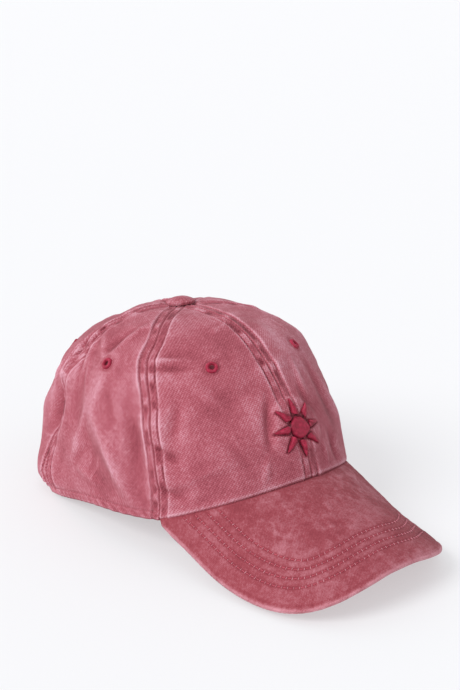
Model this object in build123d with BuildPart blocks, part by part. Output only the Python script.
"""Six-panel washed-cotton cap: crown, curved brim, sweatband and a rear strap with a clamp buckle.

Millimetres. The cap is drawn in its own frame: X to the wearer's left, -Y to the front, Z up, with
the hem plane at Z = 0 and the origin inside the head opening. Each piece is then set down on the
table, nose up, so that it rests on the rear hem and on both brim corners.
"""

import os
from copy import copy
from math import asin, atan2, cos, degrees, pi, radians, sin, sqrt, tan

from build123d import *

# Crown: a dome of superellipse sections that leans back a little
HALF_WIDTH = 81.5
FRONT_REACH = 96.0
REAR_REACH = 115.0
CROWN_HEIGHT = 110.0
APEX_SHIFT = 15.0  # the button stands this far behind the origin
PROFILE_POWER = 2.7  # squareness of the side profile, 2 would be an ellipse
FRONT_POWER = 2.0  # squareness of the plan, front half
REAR_POWER = 2.5  # squareness of the plan, rear half
LATITUDES = (0, 5, 12, 24, 36, 48, 58, 67, 75, 82, 87)
SECTION_POINTS = 28
CLOTH = 1.2  # crown panel with its seam allowances pressed in

# Seams, as plan angles of their lower ends from the front
FRONT_SEAM = 64.0
REAR_SEAM = 114.0

# Brim: a plate bent round an arch whose ridge slopes down to the front
ARCH_RADIUS = 86.0
BRIM_SLOPE = 26.0
BRIM_LENGTH = 70.0
BRIM_FLARE = 1.03  # widest developed width over the width at the root
SIDE_POWER = 2.7
NOSE_POWER = 2.9
BRIM_THICKNESS = 4.0
BRIM_CLOTH = 0.9
BOARD_INSET = 1.3

# Bands inside the crown, as depths below the outer surface of the crown
TAPE_WIDTH = 18.0
TAPE_THICKNESS = 0.6
TAPE_DEPTHS = {"seam_tape_diagonal_a": 1.4, "seam_tape_diagonal_b": 2.1, "seam_tape_centre": 2.8}
BAND_DEPTH = 3.7
BAND_THICKNESS = 2.4
BAND_CLOTH = 0.6
BAND_HEIGHT = 32.0
BAND_END_X = 65.5  # the band's ring stops here at the rear
BAND_PLATE_ANGLES = (31.0, 61.0)
LABEL_THICKNESS = 0.4
SEAM_OVERLAP = 0.2  # clearance between layers that are sewn together

# Rear opening and its strap
ARCH_HALF_WIDTH = 42.0
ARCH_HEIGHT = 50.0
BINDING_WIDTH = 4.0
BINDING_THICKNESS = 0.7
STRAP_RADIUS = 78.0  # outer face of the strap, round the strap centre
STRAP_CENTRE = (0.0, 34.4)
STRAP_THICKNESS = 1.6
STRAP_LOW, STRAP_HIGH = 3.6, 23.6
STRAP_HALF_ANGLE = 44.5
SLACK = 0.4  # free space round the strap
BAND_PLATE_RADIUS = STRAP_RADIUS - STRAP_THICKNESS - SLACK

# Buckle, placed by angles round the strap centre
SHEET = 0.8
EAR = 1.0
EAR_TOP_RADIUS = 81.8
PIN_ANGLE = -8.0
PIN_CENTRE_RADIUS = 80.2
PIN_RADIUS = 0.7
KNUCKLE_RADIUS = 1.6
BAR_ANGLE = -24.5
BAR_CENTRE_RADIUS = 80.1
BAR_RADIUS = 0.8
FRAME_ANGLES = (-5.5, -26.5)
LEVER_END_ANGLE = -20.5
LEVER_RADIUS = 80.8  # inner face of the lever plate
LEVER_LIP = 0.8  # degrees
TAB_END_ANGLE = -44.0
RUNNING = 0.05

# Button, eyelets and emblem
BUTTON_RADIUS = 9.2
BUTTON_HEIGHT = 4.6
BUTTON_CLOTH = 0.8
BUTTON_RIM = 1.4
BUTTON_SEAT = CROWN_HEIGHT + 0.2
SHANK_RADIUS = 1.8
FLANGE_RADIUS = 7.0
FLANGE_THICKNESS = 0.8
EYELET_RADIUS = 3.7
EYELET_HOLE = 1.5
EYELET_LEVEL = 85.0
EYELET_PROUD = 0.6
EMBLEM_LEVEL = 45.0
EMBLEM_RISE = 1.9
SUN_RADIUS = 7.4
RAY_INNER, RAY_OUTER = 6.6, 15.5
RAY_COUNT = 8
RAY_WIDTH = 4.2
BACKING_RADIUS = 19.0

FAR = 200.0
STANDING = (Align.CENTER, Align.CENTER, Align.MIN)


# ---------------------------------------------------------------- crown surface
def signed_power(value, power):
    return abs(value) ** power * (1 if value >= 0 else -1)


def crown_point(plan_angle, latitude, depth=0.0):
    """A point of the crown, plan_angle degrees round from the front towards +X, latitude 0 to 90 up."""
    turn, rise = radians(plan_angle), radians(latitude)
    shrink = cos(rise) ** (2 / PROFILE_POWER)
    level = sin(rise) ** (2 / PROFILE_POWER)
    front = cos(turn) > 0
    reach = (FRONT_REACH if front else REAR_REACH) - depth
    power = 2 + ((FRONT_POWER if front else REAR_POWER) - 2) * (1 - level)
    across = (HALF_WIDTH - depth) * shrink * signed_power(sin(turn), 2 / power)
    along = -reach * shrink * signed_power(cos(turn), 2 / power)
    return Vector(across, along + APEX_SHIFT * level, (CROWN_HEIGHT - depth) * level)


def latitude_of(height):
    return degrees(asin((height / CROWN_HEIGHT) ** (PROFILE_POWER / 2)))


def dome(depth):
    """The crown as one solid, with its surface this far below the outer surface of the cloth."""
    with BuildPart() as body:
        for latitude in LATITUDES:
            height = crown_point(0, latitude, depth).Z
            with BuildSketch(Plane.XY.offset(height)):
                with BuildLine():
                    ring = [
                        crown_point(360 * i / SECTION_POINTS, latitude, depth)
                        for i in range(SECTION_POINTS)
                    ]
                    Spline([(p.X, p.Y) for p in ring], periodic=True)
                make_face()
        loft()
    return body.part


def layer(outer_depth, inner_depth):
    """The space between two depths below the crown's outer surface."""
    with BuildPart() as body:
        add(dome(outer_depth))
        add(dome(inner_depth), mode=Mode.SUBTRACT)
        with BuildSketch():
            with Locations((0, APEX_SHIFT)):
                Circle(SHANK_RADIUS + SEAM_OVERLAP)
        extrude(amount=FAR, mode=Mode.SUBTRACT)
    return body.part


def seam_direction(plan_angle):
    """Plan angle, round the button, of the vertical plane that holds a seam."""
    foot = crown_point(plan_angle, 0)
    return degrees(atan2(foot.X, APEX_SHIFT - foot.Y))


def compass(angle, radius, centre=(0.0, APEX_SHIFT)):
    """A plan point at this angle from the front, towards +X, round the button."""
    return (centre[0] + radius * sin(radians(angle)), centre[1] - radius * cos(radians(angle)))


def wedge(first, last):
    """A tall wedge round the button's axis between two plan angles."""
    with BuildPart() as body:
        with BuildSketch(Plane.XY.offset(-FAR)):
            with BuildLine():
                Polyline(
                    compass(0, 0),
                    compass(first, FAR),
                    compass((first + last) / 2, 2 * FAR),
                    compass(last, FAR),
                    close=True,
                )
            make_face()
        extrude(amount=2 * FAR)
    return body.part


def hem_prism(depth):
    """The head opening, as a prism of the hem outline that leans back with the crown."""
    lean = Vector(0, APEX_SHIFT, CROWN_HEIGHT)
    start = lean * (-FAR / CROWN_HEIGHT)
    with BuildPart() as body:
        with BuildSketch(Plane(origin=start)):
            with BuildLine():
                ring = [crown_point(360 * i / SECTION_POINTS, 0, depth) for i in range(SECTION_POINTS)]
                Spline([(p.X, p.Y) for p in ring], periodic=True)
            make_face()
        extrude(amount=2 * FAR, dir=lean.normalized())
    return body.part


# ---------------------------------------------------------------- brim surface
ROOT = crown_point(FRONT_SEAM, 0)
ARCH_RISE = ARCH_RADIUS - sqrt(ARCH_RADIUS**2 - ROOT.X**2)
RIDGE = Vector(0, -cos(radians(BRIM_SLOPE)), -sin(radians(BRIM_SLOPE)))


def brim_height(x, y):
    """Height of the brim's upper face over the hem plane."""
    sag = ARCH_RADIUS - sqrt(ARCH_RADIUS**2 - x**2)
    return ARCH_RISE - sag + (y - ROOT.Y) * tan(radians(BRIM_SLOPE))


def arch_layer(top, bottom):
    """The arch between two heights over the brim's upper face, running the length of the cap."""
    start = ROOT.Y + FAR / 2
    lift = (start - ROOT.Y) * tan(radians(BRIM_SLOPE))
    half = 0.985 * ARCH_RADIUS
    drop = sqrt(ARCH_RADIUS**2 - half**2)
    with BuildPart() as body:
        with BuildSketch(Plane.XZ.offset(-start)):
            with BuildLine():
                base = ARCH_RISE - ARCH_RADIUS + lift
                upper = ThreePointArc(
                    (-half, base + drop + top), (0, base + ARCH_RADIUS + top), (half, base + drop + top)
                )
                lower = ThreePointArc(
                    (half, base + drop + bottom),
                    (0, base + ARCH_RADIUS + bottom),
                    (-half, base + drop + bottom),
                )
                Line(upper @ 1, lower @ 0)
                Line(lower @ 1, upper @ 0)
            make_face()
        extrude(amount=2 * FAR, dir=RIDGE)
    return body.part


def outline_point(share, inset=0.0):
    """A point of the brim's edge, share -1 at the right root, 0 at the nose, 1 at the left root."""
    turn = share * pi / 2
    developed = ARCH_RADIUS * asin(ROOT.X / ARCH_RADIUS) * BRIM_FLARE - inset
    forward = FRONT_REACH + ROOT.Y + BRIM_LENGTH - inset
    along_arch = developed * signed_power(sin(turn), 2 / SIDE_POWER)
    ahead = forward * cos(turn) ** (2 / NOSE_POWER)
    return (ARCH_RADIUS * sin(along_arch / ARCH_RADIUS), ROOT.Y - ahead)


def outline_prism(inset=0.0):
    """Everything over and under the brim's outline, inset by that much."""
    shares = [-1, -0.93, -0.82, -0.68, -0.5, -0.25, 0, 0.25, 0.5, 0.68, 0.82, 0.93, 1]
    with BuildPart() as body:
        with BuildSketch(Plane.XY.offset(-FAR)):
            with BuildLine():
                edge = Spline([outline_point(s, inset) for s in shares])
                Line(edge @ 1, edge @ 0)
            make_face()
        extrude(amount=2 * FAR)
    return body.part


def stance():
    """Turn and lift that set the cap down on its rear hem corners and its brim corners."""
    rear_power = 1 / REAR_POWER
    rear = REAR_REACH * (1 - (ARCH_HALF_WIDTH / HALF_WIDTH) ** REAR_POWER) ** rear_power
    tilt = 0.0
    for i in range(401):
        x, y = outline_point(i / 400)
        low = brim_height(x, y) - BRIM_THICKNESS
        tilt = max(tilt, atan2(-low, rear - y))
    return degrees(tilt), rear * sin(tilt)


TILT, LIFT = stance()
ON_TABLE = Location((0, 0, LIFT), (-TILT, 0, 0))


# ---------------------------------------------------------------- crown pieces
def panel_ranges():
    front, rear = seam_direction(FRONT_SEAM), seam_direction(REAR_SEAM)
    return {"front": (0, front), "side": (front, rear), "rear": (rear, 180)}


def eyelet_plane(first, last):
    """A plane on the crown at the middle of a panel, at the eyelets' height, facing outwards."""
    target, latitude = (first + last) / 2, latitude_of(EYELET_LEVEL)
    low, high = (-180.0, 0.0) if target < 0 else (0.0, 180.0)
    for _ in range(40):
        middle = (low + high) / 2
        p = crown_point(middle, latitude)
        if degrees(atan2(p.X, APEX_SHIFT - p.Y)) < target:
            low = middle
        else:
            high = middle
    step = 0.5
    p = crown_point(middle, latitude)
    across = crown_point(middle + step, latitude) - crown_point(middle - step, latitude)
    upward = crown_point(middle, latitude + step) - crown_point(middle, latitude - step)
    return Plane(origin=p, x_dir=across, z_dir=across.cross(upward))


def rear_arch(grow=0.0):
    """The rear opening as a prism, grown by that much all round."""
    with BuildPart() as body:
        with BuildSketch(Plane.XZ.offset(-FAR)):
            Ellipse(ARCH_HALF_WIDTH + grow, ARCH_HEIGHT + grow)
        extrude(amount=FAR - APEX_SHIFT)
    return body.part


def crown_panel(kind, side):
    first, last = panel_ranges()[kind]
    ends = (first, last) if side > 0 else (-last, -first)
    with BuildPart() as panel:
        add(CROWN)
        add(wedge(*ends), mode=Mode.INTERSECT)
        if kind == "front":
            add(arch_layer(0, -FAR / 2), mode=Mode.SUBTRACT)
        if kind == "rear":
            add(rear_arch(), mode=Mode.SUBTRACT)
        with BuildSketch(eyelet_plane(*ends).offset(-4 * CLOTH)):
            Circle(EYELET_RADIUS + RUNNING)
        extrude(amount=8 * CLOTH, mode=Mode.SUBTRACT)
    return panel


def eyelet(kind, side):
    """An embroidered ring worked through the cloth."""
    first, last = panel_ranges()[kind]
    ends = (first, last) if side > 0 else (-last, -first)
    with BuildPart() as ring:
        with BuildSketch(eyelet_plane(*ends).offset(-CLOTH - EYELET_PROUD)):
            Circle(EYELET_RADIUS)
            Circle(EYELET_HOLE, mode=Mode.SUBTRACT)
        extrude(amount=CLOTH + 2 * EYELET_PROUD)
        rims = ring.edges().filter_by(GeomType.CIRCLE)
        fillet(rims, radius=0.45)
    return ring


def tape_strip(angle):
    """A strip as wide as a seam tape, from the button outwards over one seam."""
    with BuildPart() as body:
        with BuildSketch(Plane.XY.offset(-FAR)):
            with BuildLine():
                corners = [
                    compass(angle + 90, TAPE_WIDTH / 2),
                    compass(angle - 90, TAPE_WIDTH / 2),
                    compass(angle, FAR, compass(angle - 90, TAPE_WIDTH / 2)),
                    compass(angle, FAR, compass(angle + 90, TAPE_WIDTH / 2)),
                ]
                Polyline(*corners, close=True)
            make_face()
        extrude(amount=2 * FAR)
    return body.part


def seam_tape(depth, angles):
    with BuildPart() as strips:
        for angle in angles:
            add(tape_strip(angle))
    with BuildPart() as tape:
        add(layer(depth, depth + TAPE_THICKNESS))
        add(strips.part, mode=Mode.INTERSECT)
        add(band_profile(), mode=Mode.INTERSECT)
        add(rear_arch(BINDING_WIDTH + SEAM_OVERLAP), mode=Mode.SUBTRACT)
    return tape


# ---------------------------------------------------------------- sweatband
def band_profile(low=0.0, high=FAR):
    """The space between two heights over the hem, which rises in a slope over the brim."""
    rise = brim_height(0, -FRONT_REACH) / (ROOT.Y + FRONT_REACH)
    front = rise * (FAR + ROOT.Y)
    with BuildPart() as body:
        with BuildSketch(Plane.YZ.offset(-FAR)):
            with BuildLine():
                Polyline(
                    (-FAR, front + low),
                    (ROOT.Y, low),
                    (FAR, low),
                    (FAR, high),
                    (ROOT.Y, high),
                    (-FAR, front + high),
                    close=True,
                )
            make_face()
        extrude(amount=2 * FAR)
    return body.part


def strap_sector(inner, outer, first, last, low, high):
    """A ring sector round the strap centre; angles are from the rear, towards +X."""
    with BuildPart() as body:
        with BuildSketch(Plane.XY.offset(low)):
            with BuildLine():
                far_side = CenterArc(STRAP_CENTRE, outer, 90 - last, last - first)
                near_side = CenterArc(STRAP_CENTRE, inner, 90 - last, last - first)
                Line(far_side @ 0, near_side @ 0)
                Line(far_side @ 1, near_side @ 1)
            make_face()
        extrude(amount=high - low)
    return body.part


def band_ring(depth, inner_depth, low, high, shorter=0.0):
    with BuildPart() as ring:
        add(layer(depth, inner_depth))
        add(band_profile(low, high), mode=Mode.INTERSECT)
        with Locations((0, FAR / 2 + APEX_SHIFT, 0)):
            Box(2 * (BAND_END_X + shorter), FAR, FAR, mode=Mode.SUBTRACT)
    return ring.part


def sweatband_pieces():
    """The cloth band, folded over its padding, and the padding strip inside it."""
    core = (BAND_DEPTH + BAND_CLOTH, BAND_DEPTH + BAND_THICKNESS - BAND_CLOTH)
    with BuildPart() as padding:
        add(band_ring(*core, SEAM_OVERLAP, BAND_HEIGHT - 3, shorter=2.5))
    with BuildPart() as band:
        add(band_ring(BAND_DEPTH, BAND_DEPTH + BAND_THICKNESS, SEAM_OVERLAP, BAND_HEIGHT))
        first, last = BAND_PLATE_ANGLES
        inner = BAND_PLATE_RADIUS - BAND_CLOTH * 2
        for ends in ((first, last), (-last, -first)):
            add(strap_sector(inner, BAND_PLATE_RADIUS, *ends, SEAM_OVERLAP, BAND_HEIGHT))
        add(band_ring(*core, -CLOTH, BAND_HEIGHT - 3, shorter=2.5), mode=Mode.SUBTRACT)
    return band, padding


def inner_label():
    """A blank woven label on the inside of the band."""
    depth = BAND_DEPTH + BAND_THICKNESS + 0.1
    with BuildPart() as label:
        add(layer(depth, depth + LABEL_THICKNESS))
        add(wedge(96, 112), mode=Mode.INTERSECT)
        add(band_profile(8, 22), mode=Mode.INTERSECT)
    return label


# ---------------------------------------------------------------- brim
def brim_pieces():
    """The board and the two covers that meet round its edge."""
    with BuildPart() as board:
        add(arch_layer(-BRIM_CLOTH, BRIM_CLOTH - BRIM_THICKNESS))
        add(outline_prism(BOARD_INSET), mode=Mode.INTERSECT)
        add(hem_prism(CLOTH), mode=Mode.SUBTRACT)
    with BuildPart() as upper:
        add(arch_layer(0, -BRIM_THICKNESS / 2))
        add(outline_prism(), mode=Mode.INTERSECT)
        add(hem_prism(CLOTH), mode=Mode.SUBTRACT)
        add(board.part, mode=Mode.SUBTRACT)
    with BuildPart() as lower:
        add(arch_layer(-BRIM_THICKNESS / 2, -BRIM_THICKNESS))
        add(outline_prism(), mode=Mode.INTERSECT)
        add(hem_prism(CLOTH), mode=Mode.SUBTRACT)
        add(board.part, mode=Mode.SUBTRACT)
    return board, upper, lower


# ---------------------------------------------------------------- rear opening
def arch_binding():
    """Tape folded over the cut edge of the rear opening."""
    with BuildPart() as sewn_edge:
        add(layer(-RUNNING, CLOTH + RUNNING))
        add(rear_arch(-RUNNING), mode=Mode.SUBTRACT)
    with BuildPart() as binding:
        add(layer(-BINDING_THICKNESS, CLOTH + BINDING_THICKNESS))
        add(rear_arch(BINDING_WIDTH), mode=Mode.INTERSECT)
        add(rear_arch(-BINDING_THICKNESS), mode=Mode.SUBTRACT)
        add(sewn_edge.part, mode=Mode.SUBTRACT)
        with Locations((0, 0, SLACK - FAR / 2)):
            Box(2 * FAR, 2 * FAR, FAR, mode=Mode.SUBTRACT)
    return binding


def strap_polar(angle, radius):
    """A plan point round the strap centre; the angle is from the rear, towards +X."""
    return (
        STRAP_CENTRE[0] + radius * sin(radians(angle)),
        STRAP_CENTRE[1] + radius * cos(radians(angle)),
    )


def rear_strap():
    with BuildPart() as strap:
        add(
            strap_sector(
                STRAP_RADIUS - STRAP_THICKNESS,
                STRAP_RADIUS,
                -STRAP_HALF_ANGLE,
                STRAP_HALF_ANGLE,
                STRAP_LOW,
                STRAP_HIGH,
            )
        )
        corners = strap.edges().filter_by(lambda e: e.length < 2 * STRAP_THICKNESS)
        fillet(corners, radius=3.0)
    return strap


def buckle_tab():
    """The short cloth loop that holds the buckle to the cap."""
    inner = STRAP_RADIUS + 0.3
    low, high = STRAP_LOW + SLACK, STRAP_HIGH - SLACK
    with BuildPart() as tab:
        add(strap_sector(inner, inner + STRAP_THICKNESS, TAB_END_ANGLE, BAR_ANGLE - 0.5, low, high))
        with BuildSketch(Plane.XY.offset(low)):
            with Locations(strap_polar(BAR_ANGLE, BAR_CENTRE_RADIUS)):
                Circle(BAR_CENTRE_RADIUS - inner)
        extrude(amount=high - low)
        with BuildSketch(Plane.XY.offset(low)):
            with Locations(strap_polar(BAR_ANGLE, BAR_CENTRE_RADIUS)):
                Circle(BAR_RADIUS + RUNNING)
        extrude(amount=high - low, mode=Mode.SUBTRACT)
    return tab


EAR_LOWS = (STRAP_LOW - SLACK - EAR, STRAP_HIGH + SLACK)


def buckle_frame():
    """Back plate under the strap, two ears beside it and a bar for the cloth loop."""
    last, first = FRAME_ANGLES
    bottom, top = EAR_LOWS[0], EAR_LOWS[1] + EAR
    plate_top = STRAP_RADIUS - STRAP_THICKNESS - SLACK
    with BuildPart() as frame:
        add(strap_sector(plate_top - SHEET, plate_top, first, last, bottom, top))
        for low in EAR_LOWS:
            add(strap_sector(plate_top - SHEET, EAR_TOP_RADIUS, first, last, low, low + EAR))
            with BuildSketch(Plane.XY.offset(low)):
                with Locations(strap_polar(PIN_ANGLE, PIN_CENTRE_RADIUS)):
                    Circle(PIN_RADIUS + RUNNING / 2)
            extrude(amount=EAR, mode=Mode.SUBTRACT)
        with BuildSketch(Plane.XY.offset(bottom)):
            with Locations(strap_polar(BAR_ANGLE, BAR_CENTRE_RADIUS)):
                Circle(BAR_RADIUS)
        extrude(amount=top - bottom)
    return frame


def buckle_pin():
    bottom, top = EAR_LOWS[0], EAR_LOWS[1] + EAR
    with BuildPart() as pin:
        with BuildSketch(Plane.XY.offset(bottom - RUNNING)):
            with Locations(strap_polar(PIN_ANGLE, PIN_CENTRE_RADIUS)):
                Circle(PIN_RADIUS)
        extrude(amount=top - bottom + 2 * RUNNING)
    return pin


def buckle_lever():
    """The clamp plate with its knuckle, which nips the strap against the back plate."""
    low, high = STRAP_LOW - SLACK / 2, STRAP_HIGH + SLACK / 2
    with BuildPart() as lever:
        add(strap_sector(LEVER_RADIUS, LEVER_RADIUS + SHEET, LEVER_END_ANGLE, PIN_ANGLE, low, high))
        with BuildSketch(Plane.XY.offset(low)):
            with Locations(strap_polar(PIN_ANGLE, PIN_CENTRE_RADIUS)):
                Circle(KNUCKLE_RADIUS)
        extrude(amount=high - low)
        lip = (LEVER_END_ANGLE, LEVER_END_ANGLE + LEVER_LIP)
        add(strap_sector(LEVER_RADIUS - SHEET, LEVER_RADIUS + SHEET, *lip, low, high))
        with BuildSketch(Plane.XY.offset(low)):
            with Locations(strap_polar(PIN_ANGLE, PIN_CENTRE_RADIUS)):
                Circle(PIN_RADIUS + 2 * RUNNING)
        extrude(amount=high - low, mode=Mode.SUBTRACT)
    return lever


# ---------------------------------------------------------------- button
def low_dome(radius, height, rim):
    """A flat-bottomed button: a shallow spherical crown over a short straight rim."""
    rise = height - rim
    ball = (radius**2 + rise**2) / (2 * rise)
    with BuildPart() as body:
        with Locations((0, APEX_SHIFT, BUTTON_SEAT)):
            Cylinder(radius, height, align=STANDING)
        with Locations((0, APEX_SHIFT, BUTTON_SEAT + height - ball)):
            Sphere(ball, mode=Mode.INTERSECT)
    return body.part


def button_pieces():
    """The pressed metal button, its cloth cover, and the rivet that holds it through the crown."""
    flange_top = CROWN_HEIGHT - max(TAPE_DEPTHS.values()) - TAPE_THICKNESS - SEAM_OVERLAP
    shank_top = BUTTON_SEAT + BUTTON_HEIGHT / 2
    core = low_dome(BUTTON_RADIUS - BUTTON_CLOTH, BUTTON_HEIGHT - BUTTON_CLOTH, BUTTON_RIM)
    with BuildPart() as rivet:
        with Locations((0, APEX_SHIFT, flange_top - FLANGE_THICKNESS)):
            Cylinder(FLANGE_RADIUS, FLANGE_THICKNESS, align=STANDING)
            Cylinder(SHANK_RADIUS, shank_top - flange_top + FLANGE_THICKNESS, align=STANDING)
    with BuildPart() as shell:
        add(core)
        add(rivet.part, mode=Mode.SUBTRACT)
    with BuildPart() as cover:
        add(low_dome(BUTTON_RADIUS, BUTTON_HEIGHT, BUTTON_RIM + BUTTON_CLOTH / 2))
        add(core, mode=Mode.SUBTRACT)
        add(rivet.part, mode=Mode.SUBTRACT)
    return shell, cover, rivet


# ---------------------------------------------------------------- emblem
def emblem_plane():
    latitude, step = latitude_of(EMBLEM_LEVEL), 0.5
    upward = crown_point(0, latitude + step) - crown_point(0, latitude - step)
    return Plane(
        origin=crown_point(0, latitude), x_dir=(1, 0, 0), z_dir=Vector(1, 0, 0).cross(upward)
    )


def emblem():
    """A raised embroidered sun: a disc and a ring of tapered rays."""
    with BuildPart() as badge:
        with BuildSketch(emblem_plane().offset(-FAR / 20)):
            Circle(SUN_RADIUS)
            for i in range(RAY_COUNT):
                with Locations(Rotation(0, 0, 360 * i / RAY_COUNT)):
                    with Locations(((RAY_INNER + RAY_OUTER) / 2, 0)):
                        Ellipse((RAY_OUTER - RAY_INNER) / 2, RAY_WIDTH / 2)
        extrude(amount=FAR / 10)
        add(layer(-EMBLEM_RISE, -0.1), mode=Mode.INTERSECT)
    return badge


def emblem_backing():
    """The stabiliser left behind the embroidery, inside the crown."""
    depth = max(TAPE_DEPTHS.values()) + TAPE_THICKNESS + 0.1
    with BuildPart() as backing:
        with BuildSketch(emblem_plane().offset(-FAR / 20)):
            Circle(BACKING_RADIUS)
        extrude(amount=FAR / 10)
        add(layer(depth, depth + 0.5), mode=Mode.INTERSECT)
        add(band_profile(BAND_HEIGHT + 1), mode=Mode.INTERSECT)
    return backing


# ---------------------------------------------------------------- build and write
def build():
    pieces = {}
    for kind in ("front", "side", "rear"):
        for side, word in ((1, "left"), (-1, "right")):
            pieces[f"{kind}_panel_{word}"] = crown_panel(kind, side)
            pieces[f"{kind}_eyelet_{word}"] = eyelet(kind, side)
    front, rear = seam_direction(FRONT_SEAM), seam_direction(REAR_SEAM)
    runs = {
        "seam_tape_diagonal_a": (front, -rear),
        "seam_tape_diagonal_b": (-front, rear),
        "seam_tape_centre": (0, 180),
    }
    for name, angles in runs.items():
        pieces[name] = seam_tape(TAPE_DEPTHS[name], angles)
    pieces["sweatband"], pieces["sweatband_padding"] = sweatband_pieces()
    pieces["inner_label"] = inner_label()
    pieces["brim_board"], pieces["brim_upper_cover"], pieces["brim_lower_cover"] = brim_pieces()
    pieces["rear_arch_binding"] = arch_binding()
    pieces["rear_strap"] = rear_strap()
    pieces["buckle_tab"] = buckle_tab()
    pieces["buckle_frame"] = buckle_frame()
    pieces["buckle_pin"] = buckle_pin()
    pieces["buckle_lever"] = buckle_lever()
    pieces["button_shell"], pieces["button_cover"], pieces["button_rivet"] = button_pieces()
    pieces["front_emblem"] = emblem()
    pieces["emblem_backing"] = emblem_backing()
    return pieces


def settle(pieces):
    """Set every piece down on the table, with the bottom centre of the cap at the origin."""
    stood = {name: piece.part.moved(ON_TABLE) for name, piece in pieces.items()}
    box = Compound(children=[copy(part) for part in stood.values()]).bounding_box()
    shift = Location((-box.center().X, -box.center().Y, -box.min.Z))
    return {name: part.moved(shift) for name, part in stood.items()}, shift


CROWN = layer(0, CLOTH)
settled, shift = settle(build())
os.makedirs("parts", exist_ok=True)
for name, part in settled.items():
    part.label = name
    export_step(part, f"parts/{name}.step")

frame_shift = [round(v, 4) for v in shift.position]
print("tilt", round(TILT, 4), "lift", round(LIFT, 4), "shift", frame_shift)
for name, point in (
    ("strap centre", (*STRAP_CENTRE, 0)),
    ("pin", (*strap_polar(PIN_ANGLE, PIN_CENTRE_RADIUS), 0)),
):
    spot = shift * ON_TABLE * Location(point)
    print(name, [round(v, 3) for v in spot.position])
